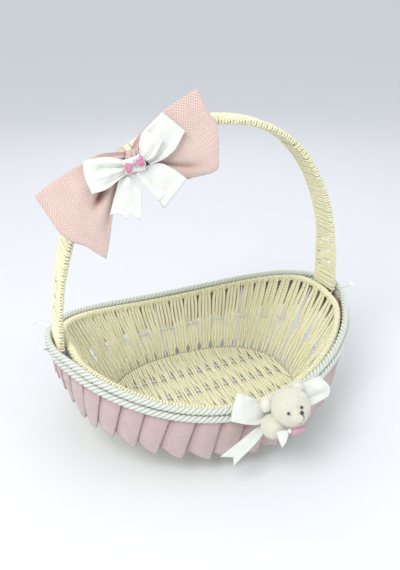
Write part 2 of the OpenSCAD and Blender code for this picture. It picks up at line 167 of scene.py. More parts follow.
def add_cord(pile, points, side, wide, deep, phase, pitch=6.6, step=0.8, section=TWO_PLY, closed=False,
             tone=0.0, shade=None):
    """A twisted cord along points. Its section, wide along side and deep across it, turns with the twist."""
    n = len(points)
    table = np.concatenate([points, np.broadcast_to(side, (n, 3)), np.broadcast_to(wide, n)[:, None],
                            np.broadcast_to(deep, n)[:, None]], 1)
    s = lengths(points)
    rings = max(4, int(round(s[-1] / step)) + 1)
    t = np.linspace(0, s[-1], rings)
    table = columns_at(t, s, table)
    p = table[:, :3]
    if closed:
        p, t, table = p[:-1], t[:-1], table[:-1]
        tangent = unit(np.roll(p, -1, 0) - np.roll(p, 1, 0))
        rings -= 1
    else:
        tangent = unit(np.gradient(p, axis=0))
    across = unit(table[:, 3:6] - (table[:, 3:6] * tangent).sum(1, keepdims=True) * tangent)
    out = np.cross(tangent, across)
    sides = len(section)
    corner = np.arange(sides) * 2 * np.pi / sides
    angle = phase + 2 * np.pi * t[:, None] / pitch + corner
    end = np.ones(rings)
    if not closed:
        end[[0, -1]] = 0.55
    r = section * end[:, None]
    ring = p[:, None] + (r * table[:, 6:7] * np.cos(angle))[..., None] * across[:, None] \
        + (r * table[:, 7:8] * np.sin(angle))[..., None] * out[:, None]
    faces = [tube_faces(rings, sides, closed)]
    if not closed:
        faces += [np.arange(sides)[None, ::-1],
             (rings - 1) * sides + np.arange(sides)[None, :]]
    twine = np.stack(np.broadcast_arrays(np.cos(corner), np.sin(corner), t[:, None] + 40 * phase), -1)
    low = section.min()
    # painted shade: darker in the valleys between the plies, unless a shade is given
    crease = (section.max() - section) / max(section.max() - low, 1e-6) if shade is None else shade
    crease = np.broadcast_to(crease, (rings, sides))
    pile.add(ring.reshape(-1, 3), faces, twine=twine.reshape(-1, 3), crease=crease.ravel(), tone=tone)


# ---- materials ----
class Shader:
    """Short way to make and join shader nodes."""

    def __init__(self, name, **principled):
        self.material = bpy.data.materials.new(name)
        self.material.use_nodes = True
        self.tree = self.material.node_tree
        self.bsdf = self.tree.nodes["Principled BSDF"]
        for key, value in principled.items():
            self.bsdf.inputs[key.replace("_", " ")].default_value = value

    def node(self, kind, inputs=(), **settings):
        made = self.tree.nodes.new("ShaderNode" + kind)
        for key, value in settings.items():
            setattr(made, key, value)
        for key, value in dict(inputs).items():
            if isinstance(value, bpy.types.NodeSocket):
                self.tree.links.new(value, made.inputs[key])
            else:
                made.inputs[key].default_value = value
        return made

    def attribute(self, name, output="Vector"):
        return self.node("Attribute", attribute_name=name).outputs[output]

    def math(self, operation, a, b=0.0):
        return self.node("Math", {0: a, 1: b}, operation=operation).outputs[0]

    def scaled(self, vector, scale):
        return self.node("Mapping", {"Vector": vector, "Scale": scale}).outputs[0]

    def noise(self, vector, scale, detail=3.0, rough=0.5):
        return self.node("TexNoise", {"Vector": vector, "Scale": scale, "Detail": detail,
                                      "Roughness": rough}).outputs["Fac"]

    def blend(self, fac, a, b):
        made = self.node("Mix", {"Factor": fac}, data_type="RGBA")
        for socket, value in ((made.inputs[6], a), (made.inputs[7], b)):
            if isinstance(value, bpy.types.NodeSocket):
                self.tree.links.new(value, socket)
            else:
                socket.default_value = (*value, 1)
        return made.outputs[2]

    def range(self, value, from_low, from_high, to_low=0.0, to_high=1.0):
        return self.node("MapRange", {"Value": value, "From Min": from_low, "From Max": from_high,
                                      "To Min": to_low, "To Max": to_high}).outputs[0]

    def put(self, **links):
        for key, value in links.items():
            self.tree.links.new(value, self.bsdf.inputs[key.replace("_", " ")])

    def bump(self, height, distance, strength=1.0):
        made = self.node("Bump", {"Height": height, "Distance": distance * MM, "Strength": strength})
        self.put(Normal=made.outputs[0])


def paper_material():
    s = Shader("paper_cord", Roughness=0.72, Specular_IOR_Level=0.35, Sheen_Weight=0.15)
    twine, crease, tone = s.attribute("twine"), s.attribute("crease", "Fac"), s.attribute("tone", "Fac")
    streaks = s.noise(s.scaled(twine, (2.2, 2.2, 0.35)), 2.2, 4.0, 0.6)
    fibres = s.noise(s.scaled(twine, (5.0, 5.0, 0.5)), 3.0, 2.0)
    colour = s.blend(s.range(streaks, 0.3, 0.7), (0.98, 0.955, 0.62), (1.0, 0.99, 0.79))
    # painted shade in the valleys between the plies
    colour = s.blend(s.math("MULTIPLY", crease, 0.55), colour, (0.74, 0.66, 0.34))
    colour = s.blend(s.range(tone, 0, 1, 0, 0.25), colour, (0.96, 0.93, 0.68))
    s.put(Base_Color=colour)
    s.bump(s.math("ADD", streaks, s.math("MULTIPLY", fibres, 0.6)), 0.35, 0.8)
    return s.material


def rope_material():
    s = Shader("rim_rope", Roughness=0.55, Specular_IOR_Level=0.35, Sheen_Weight=0.1)
    twine = s.attribute("twine")
    yarn = s.node("TexWave", {"Vector": twine, "Scale": 0.9, "Distortion": 0.6, "Detail": 1.0},
                  bands_direction="DIAGONAL").outputs["Fac"]
    fine = s.noise(s.scaled(twine, (4.0, 4.0, 0.6)), 2.5)
    colour = s.blend(s.range(fine, 0.3, 0.7), (0.66, 0.70, 0.62), (0.82, 0.84, 0.77))
    colour = s.blend(s.math("MULTIPLY", yarn, 0.2), colour, (0.76, 0.80, 0.73))
    # painted shade in the grooves between the strands
    s.put(Base_Color=s.blend(s.attribute("crease", "Fac"), colour, (0.28, 0.36, 0.25)))
    s.bump(s.math("ADD", yarn, s.math("MULTIPLY", fine, 0.5)), 0.25, 0.6)
    return s.material


def weave_material(name, light, dark, tuck, thread, angle=0.0):
    """Plain weave of threads a given width apart, by a piece's cloth coordinates; painted shade in the tuck
    colour darkens its folds and tucks.
    """
    s = Shader(name, Roughness=0.85, Sheen_Weight=0.4, Specular_IOR_Level=0.25)
    cloth = s.node("Mapping", {"Vector": s.attribute("cloth"), "Rotation": (0, 0, angle),
                               "Scale": (np.pi / thread,) * 3}).outputs[0]
    parts = s.node("SeparateXYZ", {0: cloth})
    warp, weft = (s.math("ABSOLUTE", s.math("SINE", parts.outputs[k])) for k in (0, 1))
    over = s.math("GREATER_THAN", s.math("MULTIPLY", s.math("SINE", parts.outputs[0]),
                                         s.math("SINE", parts.outputs[1])), 0.0)
    under = s.math("SUBTRACT", 1.0, over)
    height = s.math("ADD", s.math("MULTIPLY", over, warp), s.math("MULTIPLY", under, weft))
    cloudy = s.noise(s.attribute("cloth"), 0.12, 3.0)
    # painted shade between the threads: thread tops light, the hollows between them dark
    colour = s.blend(s.range(height, 0.15, 0.9), dark, light)
    colour = s.blend(s.range(cloudy, 0.35, 0.7, 0, 0.25), colour, dark)
    # painted shade: folds and tucks darkened towards the tuck colour
    s.put(Base_Color=s.blend(s.math("MULTIPLY", s.attribute("tuck", "Fac"), 0.75), colour, tuck))
    s.bump(height, 0.45, 0.8)
    return s.material


def satin_material():
    s = Shader("white_satin", Roughness=0.3, Specular_IOR_Level=0.5, Sheen_Weight=0.05, Anisotropic=0.5)
    cloth = s.attribute("cloth")
    threads = s.noise(s.scaled(cloth, (0.6, 9.0, 1.0)), 1.0, 2.0)
    soft = s.noise(cloth, 0.09, 2.0)
    s.put(Base_Color=s.blend(s.range(soft, 0.3, 0.75, 0, 0.6), (0.80, 0.82, 0.78), (0.62, 0.64, 0.54)))
    s.bump(s.math("ADD", s.math("MULTIPLY", threads, 0.3), soft), 0.25, 0.35)
    return s.material


def plush_material(name="plush", light=(0.80, 0.79, 0.69), dark=(0.66, 0.64, 0.52)):
    s = Shader(name, Roughness=0.95, Sheen_Weight=0.7, Specular_IOR_Level=0.1)
    here = s.node("TexCoord").outputs["Object"]
    pile_noise = s.noise(here, 1400.0, 3.0, 0.7)
    patches = s.noise(here, 160.0, 2.0)
    colour = s.blend(s.range(pile_noise, 0.35, 0.65), dark, light)
    s.put(Base_Color=s.blend(s.range(patches, 0.4, 0.7, 0, 0.3), colour, dark))
    s.bump(pile_noise, 0.5, 0.7)
    return s.material


def paint_material():
    s = Shader("white_paint", Roughness=0.38, Specular_IOR_Level=0.5)
    here = s.node("TexCoord").outputs["Object"]
    grain = s.noise(here, 900.0, 3.0)
    s.put(Base_Color=s.blend(s.range(grain, 0.35, 0.7), (0.68, 0.70, 0.73), (0.80, 0.81, 0.84)))
    s.bump(grain, 0.05, 0.5)
    return s.material


def simple_material(name, colour, spot, scale=700.0, depth=0.04, **principled):
    """A hard glossy finish with slight cloudiness."""
    s = Shader(name, **principled)
    here = s.node("TexCoord").outputs["Object"]
    cloud = s.noise(here, scale, 3.0)
    s.put(Base_Color=s.blend(s.range(cloud, 0.4, 0.8), colour, spot))
    s.bump(cloud, depth, 0.3)
    return s.material


paper = paper_material()
rope = rope_material()
# the third colour of each is the painted shade for folds and tucks
blush = weave_material("blush_mesh", (0.71, 0.57, 0.55), (0.46, 0.33, 0.31), (0.36, 0.16, 0.13), 1.5)
bow_mesh = weave_material("bow_mesh", (0.82, 0.65, 0.595), (0.62, 0.43, 0.37), (0.50, 0.22, 0.15), 1.6, 0.6)
satin = satin_material()
plush = plush_material()
inner_ear = plush_material("ear_pad", (0.86, 0.85, 0.80), (0.76, 0.73, 0.65))
paint = paint_material()
pearl = simple_material("pearl", (0.93, 0.94, 0.95), (0.88, 0.90, 0.93), Roughness=0.18, Coat_Weight=0.6,
                        Specular_IOR_Level=0.6)
silver = simple_material("setting", (0.80, 0.78, 0.80), (0.70, 0.67, 0.69), Metallic=1.0, Roughness=0.22)
bead = simple_material("bead", (0.012, 0.010, 0.010), (0.03, 0.025, 0.025), Roughness=0.12, Coat_Weight=0.5)
stone = simple_material("stone", (0.52, 0.17, 0.28), (0.80, 0.46, 0.56), 900.0, 0.5, Roughness=0.12, IOR=1.55)
glitter = simple_material("glitter", (0.58, 0.24, 0.35), (0.90, 0.62, 0.70), 2600.0, 0.4, Metallic=0.25,
                          Roughness=0.3)


def repaint(material, slot, *names):
    for name in names:
        nodes[name].data.materials.clear()
        nodes[name].data.materials.append(material)


repaint(paint, "frame_wire", "rim_hoop", "middle_hoop", "base_hoop", "base_wires", "upright_wires",
        "handle_front_wire", "handle_center_wire", "handle_rear_wire")
repaint(silver, "setting", "pin_shafts")
repaint(pearl, "pearl", "pin_pearls")
repaint(bead, "bead", "bear_eyes", "bear_nose")

# ---- wall: cords in groups of four, in front of and behind the middle hoop by turns ----
GROUPS, PER_GROUP = 6, 4  # groups in each bay between two upright wires, and cords in each group
share = np.linspace(0, 1, 101)
bay_angle = 360 / BAYS
turn = np.linspace(0, bay_angle, 241)
# how close the cords of a group lie, as a share of the room: less than 1 opens gaps between the groups
closeness = 1 - 0.33 * (1 - ramp(share, 0.09, 0.2)) - 0.03 * bump((share - 0.5) / 0.05) \
    - 0.15 * ramp(share, 0.80, 0.99)
weave = WEAVE * bump((share - 0.5) / 0.13)
foot_curl = np.radians(np.linspace(20, 120, 14))  # round the base hoop, from outside to below


def wall_cords(bay):
    """One bay's cords, from under the base hoop to the rim hoop."""
    pile = Pile()
    first = FIRST_UPRIGHT + bay * bay_angle
    grid = wall_point(first + turn[None, :], share[:, None])
    along = np.concatenate([np.zeros((len(share), 1)),
                            np.cumsum(np.linalg.norm(np.diff(grid, axis=1), axis=2), 1)], 1)
    room = along[:, -1] - 2 * WIRE_R
    for g in range(GROUPS):
        sign = 1 if (bay * GROUPS + g) % 2 else -1
        drift = rng.normal(0, 0.35) * bump((share - rng.uniform(0.3, 0.8)) / 0.3)
        from_right_foot = (first + (g + 0.5) * bay_angle / GROUPS + 180) % 360 - 180
        end_gap = 0.16 * bump(from_right_foot / 30)
        tight = closeness * (1 + rng.normal(0, 0.012)) - (0.07 * rng.random() + end_gap) * ramp(share, 0.7, 1)
        tight = np.minimum(tight, 1.0)
        for c in range(PER_GROUP):
            spacing = room / (GROUPS * PER_GROUP) * tight
            wander = 0.22 * np.sin(share * rng.uniform(4, 9) + rng.uniform(0, 6)) * (share * (1 - share) * 4)
            place = WIRE_R + room * (g + 0.5) / GROUPS + (c - (PER_GROUP - 1) / 2) * spacing + drift + wander
            angle = first + np.array([np.interp(place[i], along[i], turn) for i in range(len(share))])
            wide = np.clip(spacing * 0.54, 1.3, 1.95) * (1 + rng.normal(0, 0.02))
            stagger = 0.5 * np.sqrt(np.maximum((2 * wide) ** 2 - spacing ** 2, 0)) * (1 if c % 2 else -1)
            points = wall_point(angle, share)
            up = unit(rim_hoop_point(angle) - floor_point(angle, WALL_FOOT, BASE_Z))
            side = unit(wall_point(angle + 0.3, share) - wall_point(angle - 0.3, share))
            out = np.cross(side, up)
            off = sign * weave + stagger * (1 - 0.8 * bump((share - 0.5) / 0.1)) \
                + WEAVE * (1 - ramp(share, 0.0, 0.07)) - 1.0 * ramp(share, 0.9, 1.0)
            points = points + out * off[:, None] + rng.normal(0, 0.05)
            hoop = floor_point(angle[0], WALL_FOOT, BASE_Z)
            flat = unit(np.array([out[0, 0], out[0, 1], 0]))
            curl = [hoop + (WEAVE + 0.15 * c) * (math.cos(q) * flat - math.sin(q) * np.array([0, 0, 1.0]))
                    for q in foot_curl[::-1]]
            points = np.concatenate([curl, points[3:]])
            wide = np.concatenate([np.full(len(curl), wide[0]), wide[3:]])
            side = np.concatenate([np.broadcast_to(side[0], (len(curl), 3)), side[3:]])
            add_cord(pile, points, side, wide, CORD_R * 0.97, rng.uniform(0, 6.28), tone=rng.random())
    return pile


bay_names = ("wall_cords_right_rear", "wall_cords_rear", "wall_cords_left_rear", "wall_cords_left",
             "wall_cords_left_front", "wall_cords_front", "wall_cords_right_front", "wall_cords_right")
for bay, name in enumerate(bay_names):
    piece(name, wall_cords(bay).mesh(name), paper, ("lower_wall_winding", "upper_wall_winding"))

# ---- floor: cords across it, over and under the three base wires ----
FLOOR_CORDS, PER_FLOOR_GROUP, WIRE_SPACING = 72, 2, 35.0


def floor_cords(numbers):
    pile = Pile()
    pitch = 2 * FLOOR_LENGTH / FLOOR_CORDS
    for i in numbers:
        group, c = divmod(i, PER_FLOOR_GROUP)
        middle = (group * PER_FLOOR_GROUP + PER_FLOOR_GROUP / 2) * pitch - FLOOR_LENGTH
        reach_x = min(abs((i + 0.5) * pitch - FLOOR_LENGTH) / (FLOOR_LENGTH + 1.2), 0.9995)
        power = 2 / FLOOR_POWER
        reach = (FLOOR_WIDTH + 1.2) * (1 - reach_x ** power) ** (1 / power)
        y = np.linspace(-reach, reach, max(12, int(reach * 2)))
        near_wire = sum(bump((y - w) / 7) for w in (-WIRE_SPACING, 0, WIRE_SPACING))
        tight = 1.015 - 0.03 * near_wire * rng.uniform(-0.4, 1.8)
        x = middle + (c - (PER_FLOOR_GROUP - 1) / 2) * pitch * tight \
            + rng.uniform(0, 0.55) * np.sin(y / rng.uniform(8, 17) + rng.uniform(0, 6))
        over = (1 if group % 2 else -1) * (bump(y / 9) - bump((y - WIRE_SPACING) / 9)
                                           - bump((y + WIRE_SPACING) / 9))
        over = over + (1 - over) * ramp(abs(y), reach - 14, reach - 2)
        points = np.stack([x, y, BASE_Z + WEAVE * over + 0.2 * (c % 2)], 1)
        add_cord(pile, points, [1.0, 0, 0], pitch * 0.51, CORD_R * 0.97, rng.uniform(0, 6.28),
                 tone=rng.random())
    return pile


half = FLOOR_CORDS // 2
for name, numbers in (("floor_cords_left", range(half)), ("floor_cords_right", range(half, FLOOR_CORDS))):
    piece(name, floor_cords(numbers).mesh(name), paper, ("floor_winding",))

# ---- rim roll: one cord wound round the rim hoop ----
TURN_PITCH, TURN_STEPS = 2.95, 20


def wound(centre, along, out, up, radius, turns):
    """Points of a helix round a closed line, with the line's own direction as the cord's side."""
    angle = np.linspace(0, 2 * np.pi * turns, turns * TURN_STEPS + 1)
    s = lengths(centre)
    table = columns_at(angle / angle[-1] * s[-1], s, np.concatenate([centre, along, out, up], 1))
    c, t, o, u = (table[:, k:k + 3] for k in (0, 3, 6, 9))
    return c + radius * (np.cos(angle)[:, None] * o + np.sin(angle)[:, None] * u), t


def ring_frame(line):
    along = unit(np.roll(line, -1, 0) - np.roll(line, 1, 0))
    out = unit(np.cross(along, [0, 0, 1.0]))
    return along, out, np.cross(out, along)


def close(values):
    return np.concatenate([values, values[:1]])


circle = np.linspace(0, 360, 1441)
hoop = rim_hoop_point(circle)
along, out, up = (unit(v) for v in ring_frame(hoop[:-1]))
roll_turns = int(lengths(hoop)[-1] / TURN_PITCH)
points, side = wound(hoop, close(along), close(out), close(up), WEAVE, roll_turns)
pile = Pile()
add_cord(pile, points, side, TURN_PITCH * 0.49, CORD_R, 0.0, step=0.85, tone=0.3)
piece("rim_roll_cord", pile.mesh("rim_roll_cord"), paper, ("rim_roll",))


# ---- rim ropes ----
STRANDS, STRAND_R, HELIX_R, ROPE_LAY = 3, 1.56, 1.8, 15.0
ROPE_CORNERS = 14
STRAIGHT = 1e9  # the pitch of a cord that has no twist of its own


def rim_rope(name, out, down, node):
    bulge = ARCH_SPAN + HANDLE_DEEP + 3.4 - RIM_LENGTH + 1 - out
    line = rim_point(circle, out + max(0, bulge) * at_foot(circle), down)
    along, flat, rise = (close(v) for v in ring_frame(line[:-1]))
    s = lengths(line)
    lays = round(s[-1] / ROPE_LAY)
    pile = Pile()
    t = np.linspace(0, s[-1], int(s[-1] / 0.5))
    table = columns_at(t, s, np.concatenate([line, along, flat, rise], 1))
    corners = np.arange(ROPE_CORNERS) * 2 * np.pi / ROPE_CORNERS
    groove_shade = ramp(-np.cos(corners), -0.6, 0.3)  # painted shade on each strand, darker on its side towards the rope's middle
    for k in range(STRANDS):
        angle = 2 * np.pi * (lays * t / s[-1] + k / STRANDS)
        radial = np.cos(angle)[:, None] * table[:, 6:9] + np.sin(angle)[:, None] * table[:, 9:12]
        add_cord(pile, table[:, :3] + HELIX_R * radial, radial, STRAND_R * 0.96, STRAND_R * 1.05, 0.0,
                 pitch=STRAIGHT, section=np.ones(ROPE_CORNERS), closed=True, tone=k / STRANDS, shade=groove_shade)
    piece(name, pile.mesh(name), rope, (node,))


rim_rope("rim_rope_upper", 4.0, 1.2, "upper_rim_rope")
rim_rope("rim_rope_lower", 6.3, 8.1, "lower_rim_rope")


# ---- handle winding ----
SHOULDER_DIP, SHOULDER_X, SHOULDER_REACH = 8.0, -80.0, 35.0


def arch_point(t):
    t = np.asarray(t, float)
    x = ARCH_SPAN * np.sign(np.cos(t)) * abs(np.cos(t)) ** ARCH_POWER
    dip = SHOULDER_DIP * bump((x - SHOULDER_X) / SHOULDER_REACH)
    return np.stack([x, 0 * x, RIM_LOW + ARCH_RISE * np.sin(t) ** ARCH_POWER - dip], -1)


arch_start = math.asin(((LEG_TOP - RIM_LOW) / ARCH_RISE) ** (1 / ARCH_POWER))
arch = arch_point(np.linspace(arch_start, np.pi - arch_start, 401))
arch_feet = arch[[0, -1]] - (0, 0, FOOT_DEPTH)
arch = np.concatenate([arch_feet[:1], arch, arch_feet[1:]])
arch_s = lengths(arch)
arch_frame = np.concatenate([arch, unit(np.gradient(arch, axis=0))], 1)
# from the handle's middle to the cord's, across and through it, and how round the section is
WIND_WIDE, WIND_DEEP, WIND_POWER = HANDLE_WIDE - CORD_R, 2.1, 0.32
# openings in the lowest part of each leg, as (height up the leg, place across it, half size)
OPENINGS = [(27, 6.4, 4.0), (34, -6.4, 4.2), (42, 6.2, 4.2), (48, -6.4, 4.0), (57, 5.8, 3.6), (63, -6.2, 3.4)]


def at_arch(s, y, depth):
    """Points beside the handle's line, depth out of its outer face. The right leg spreads at its foot."""
    table = columns_at(np.clip(s, 0, arch_s[-1]), arch_s, arch_frame)
    normal = np.stack([table[:, 5], 0 * s, -table[:, 3]], 1)
    spread = 1 - ramp(s, 20, 95)
    y = y * (1 + 0.2 * spread) + 3.2 * spread
    return table[:, :3] + np.stack([0 * s, y, 0 * s], 1) + normal * depth[:, None], table[:, 3:6]


def oval(angle):
    c, s = np.cos(angle), np.sin(angle)
    return WIND_WIDE * np.sign(c) * abs(c) ** WIND_POWER, WIND_DEEP * np.sign(s) * abs(s) ** WIND_POWER


def handle_turns(low, high, phase):
    turns = int(round((high - low) / TURN_PITCH))
    angle = np.linspace(0, 2 * np.pi * turns, turns * 64)
    y, depth = oval(angle)
    s = low + (high - low) * angle / angle[-1]
    s = s + 0.45 * np.sin(angle * 0.37 + phase) * np.sin(angle * 0.113) - 0.07 * y
    depth = depth * (1 + 0.12 * np.sin(angle * 0.211 + phase) * np.sin(angle * 0.173))
    leg = np.minimum(s, arch_s[-1] - s)
    thin = ramp(leg, 14, 26) * (1 - ramp(leg, 66, 80))  # the woven part, where the passes lie close together
    close_by = thin * bump((abs(y) - 6.3) / 4.8)
    depth = depth * (1 - 0.8 * close_by)
    for centre, across, size in OPENINGS:
        for from_foot, place in ((s, across), (arch_s[-1] - s, -across)):
            apart = from_foot - centre
            push = size * np.tanh(apart / 0.8) * bump((y - place) / 3.4) * np.exp(-abs(apart) / 7.5)
            s = s + (push if from_foot[0] < arch_s[-1] / 2 and place == across else -push)
    return *at_arch(s, y, depth), CORD_R * (1 - 0.28 * close_by)


cuts = np.linspace(0.4, arch_s[-1] - 0.4, 4)
for name, low, high in zip(("handle_cord_right", "handle_cord_top", "handle_cord_left"), cuts[:-1], cuts[1:]):
    points, side, deep = handle_turns(low + TURN_PITCH / 2, high - TURN_PITCH / 2, rng.uniform(0, 6))
    pile = Pile()
    add_cord(pile, points, side, TURN_PITCH * 0.5, deep, 0.0, step=0.95, tone=0.2)
    piece(name, pile.mesh(name), paper, ("handle_winding",))

# ---- skirt: one strip, knife-pleated all round ----
PLEATS, PLEAT_DROP, PLEAT_FLARE, HEM_RISE, FOLD_LIFT = 42, 51.0, 8.5, 7.0, 3.5
SKIRT_TOP = 10.5
SKIRT_WIDTH = PLEAT_DROP - SKIRT_TOP - HEM_RISE / 2  # the flat strip's, as a mean
COLUMN_STEP = 1.5


def cloth_strip():
    """Columns run round the rim through every pleat and its fold; rows run from the ropes to the hem."""
    step = 360 / PLEATS
    rows = np.linspace(0, 1, 30)
    points, cloth, shade, flat = [], [], [], 0.0
    for i in range(PLEATS):
        lean = -4.3 + rng.normal(0, 0.5) + 4.0 * bump((i * step - 196) / 14)
        lift = FOLD_LIFT * rng.uniform(0.85, 1.2)
        drop = rng.normal(0, 0.7)
        twist = rng.normal(0, 0.8)
        for part, count in (("face", 17), ("under", 6)):
            for u in np.linspace(0, 1, count)[1 if part == "under" else 0:-1 if part == "under" else None]:
                # across the face w goes from the tucked edge to the fold; under it the cloth goes back
                w = u if part == "face" else 1 - 0.40 * u
                a = (i - 0.10 + 1.10 * w) * step + lean * rows
                crown = 2.9 * np.sin(np.pi * w ** 1.15) * np.sin(np.pi * rows * 0.85 + 0.3) \
                    + twist * np.sin(np.pi * w) * rows * 0.6
                tucked_in = 8 * bump((i * step - 180) / 16) + 9 * bump((i * step - 325) / 26)
                hem_out = PLEAT_FLARE - tucked_in - lift + ramp(w, 0.1, 1.0) * lift
                outward = 4.6 + 1.5 * w + (hem_out - 4.6 - 1.5 * w) * rows ** 0.8 + crown
                if part == "under":
                    pressed_in = 1.6 + 2.0 * np.sin(np.pi * min(u * 1.4, 1) / 2)
                    outward = outward - pressed_in * ramp(rows, -0.3, 0.4)
                hem_down = PLEAT_DROP - HEM_RISE * (1 - ramp(w, 0.0, 0.95)) - 1.3 * ramp(w, 0.94, 1.0) + drop
                points.append(rim_point(a, outward, SKIRT_TOP + (hem_down - SKIRT_TOP) * rows))
                flat += COLUMN_STEP
                cloth.append(np.stack([np.full(len(rows), flat), rows * SKIRT_WIDTH, 0 * rows], 1))
                # painted shade: darkest on each pleat's tucked edge and the cloth under its fold, more so near
                # the top, and in a band along the top under the ropes
                tucked = 1 - ramp(w, 0.0, 0.42) if part == "face" else 0.3 + 0.7 * u
                shade.append(tucked * (0.55 + 0.45 * (1 - rows)) + 0.35 * (1 - ramp(rows, 0, 0.22)))
    points = np.array(points)
    faces = cloth_faces(*points.shape[:2], closed=True)[:, [0, 3, 2, 1]]  # wound the other way round
    pile = Pile()
    pile.add(points.reshape(-1, 3), [faces], cloth=np.concatenate(cloth),
             tuck=np.clip(np.concatenate(shade), 0, 1))
    return pile, points


def thicken(obj, thickness):
    solid = obj.modifiers.new("thickness", "SOLIDIFY")
    solid.thickness, solid.offset = thickness * MM, 0
    return obj


pile, strip = cloth_strip()
ruffle = thicken(piece("ruffle_strip", pile.mesh("ruffle_strip"), blush, ("ruffle",)), 0.6)


# ---- ribbon pieces, each in a tilted frame: u to the right, v up, n towards the viewer's side ----
def tilted_frame(place, turn, tilt):
    return np.array(Matrix.Translation(Vector(place)) @ Matrix.Rotation(math.radians(turn), 4, "Z")
                    @ Matrix.Rotation(math.radians(90 - tilt), 4, "X"))


def into(base, points):
    return points @ base[:3, :3].T + base[:3, 3]


def through(corners, t, smooth=True):
    """Line through the corners at shares t of its way, rounded (Catmull-Rom) or straight."""
    p = np.asarray(corners, float)
    t = np.asarray(t, float)
    if not smooth or len(p) < 3:
        s = lengths(p)
        return columns_at(t * s[-1], s, p)
    p = np.concatenate([[2 * p[0] - p[1]], p, [2 * p[-1] - p[-2]]])
    x = np.clip(t * (len(p) - 3), 0, len(p) - 3 - 1e-9)
    k, f = np.floor(x).astype(int), (x % 1)[:, None]
    a, b, c, d = p[k], p[k + 1], p[k + 2], p[k + 3]
    return 0.5 * (2 * b + (c - a) * f + (2 * a - 5 * b + 4 * c - d) * f ** 2
                  + (3 * b - a - 3 * c + d) * f ** 3)


def patch(lower, upper, end, t, v, smooth_end=True):
    """Flat outline of a ribbon: two edges that leave the knot and the end that joins them."""
    low, high = through(lower, t), through(upper, t)
    stretch = through(end, v, smooth_end) - (low[-1] + (high[-1] - low[-1]) * v[:, None])
    return low[:, None] + (high - low)[:, None] * v[None, :, None] + stretch[None] * (t ** 2)[:, None, None]


def grid_piece(name, base, grid, width, material, hidden, closed=False,
               thickness=0.35, deep=0.0):
    """A sheet whose rows run across the ribbon and whose columns run along it."""
    rows, cols = grid.shape[:2]
    faces = cloth_faces(rows, cols, closed)
    along = lengths(grid[:, cols // 2])[:, None]
    cloth = np.stack(np.broadcast_arrays(along, np.linspace(0, width, cols)[None, :], 0.0), -1)
    pile = Pile()
    level = grid[:, :, 2]
    around = np.median(level[:rows // 2])
    front_rows = (np.arange(rows) < rows // 2)[:, None]
    # painted shade in the front sheet's valleys, full where it lies deep below its median height
    tuck = np.clip((around - 0.5 - level) / deep, 0, 1) * front_rows if deep else 0 * level
    pile.add(into(base, grid.reshape(-1, 3)), [faces], cloth=cloth.reshape(-1, 3), tuck=tuck.ravel())
    obj = thicken(piece(name, pile.mesh(name), material, hidden), thickness)
    return obj


def loop_grid(lower, upper, end, front, back, at_knot, folds, end_round, steps=40, across=29):
    """A ribbon loop: out from the knot, round its end and back behind. folds(t, v) lifts the front."""
    t, v = np.linspace(0, 1, steps), np.linspace(0, 1, across)
    flat = patch(lower, upper, end, t, v)
    spread = ramp(t, 0, 0.5)[:, None]
    rise = at_knot + (front - at_knot) * spread + folds(t[:, None], v[None, :])
    front_rows = np.concatenate([flat, rise[..., None]], 2)
    away = unit(flat[-1] - flat[-3])
    turned = []
    for q in np.linspace(np.pi / 2, -np.pi / 2, 9)[1:-1]:
        n = (rise[-1] + back) / 2 + (rise[-1] - back) / 2 * math.sin(q)
        turned.append(np.concatenate([flat[-1] + away * end_round * math.cos(q), n[:, None]], 1))
    fall = back + (at_knot - 1.0 - back) * (1 - spread) + 0.25 * folds(t[:, None], v[None, :])
    middle = flat.mean(1, keepdims=True)
    back_height = np.broadcast_to(fall, rise.shape)[..., None]
    back_rows = np.concatenate([middle + (flat - middle) * 0.97, back_height], 2)
    return np.concatenate([front_rows, turned, back_rows[::-1]])


def tail_grid(lower, upper, end, height):
    t, v = np.linspace(0, 1, 30), np.linspace(0, 1, 41)
    flat = patch(lower, upper, end, t, v, smooth_end=False)
    n = np.broadcast_to(height(t[:, None], v[None, :]), flat.shape[:2])
    return np.concatenate([flat, n[..., None]], 2)


def band_grid(left, right, low, high, pleats, depth=0.5):
    """A band wrapped round a knot. left and right are its edges' (u low, u high, v low, v high)."""
    around, squareness = 56, 0.55
    q = np.linspace(0, 2 * np.pi, around, endpoint=False)
    c, s = (np.sign(f(q)) * abs(f(q)) ** squareness for f in (np.cos, np.sin))
    w = np.linspace(0, 1, 25)
    ridge = depth * np.cos(2 * np.pi * pleats * w) - 1.2 * (2 * w - 1) ** 6
    grid = []
    for k in range(around):
        share_up = (c[k] + 1) / 2
        u0 = left[0] + (left[1] - left[0]) * share_up
        u1 = right[0] + (right[1] - right[0]) * share_up
        v0 = left[2] + (right[2] - left[2]) * w
        v1 = left[3] + (right[3] - left[3]) * w
        pinch = 1 - 0.05 * np.sin(np.pi * w)
        v = (v0 + v1) / 2 + (v1 - v0) / 2 * c[k] * pinch
        n = (low + high) / 2 + ((high - low) / 2 - 0.6 + ridge) * s[k]
        grid.append(np.stack([u0 + (u1 - u0) * w, v, n], 1))
    return np.array(grid)


def waves(*terms):
    """Sum of soft ridges: each is (height, centre across at the knot, at the end, half width, from t, to t)."""
    def height(t, v):
        total = 0 * t * v
        for amount, at_start, at_end, wide, t0, t1 in terms:
            line = at_start + (at_end - at_start) * t
            fade = ramp(t, t0 - 0.12, t0 + 0.08) * (1 - ramp(t, t1 - 0.12, t1 + 0.1))
            total = total + amount * bump((v - line) / (wide * (0.35 + 0.65 * t))) * fade
        return total
    return height


# ---- bow on the handle ----
bow = tilted_frame((-75, -25.7, 269.2), -8, 15.2)
RIBBON = 25.0  # the satin ribbon's width

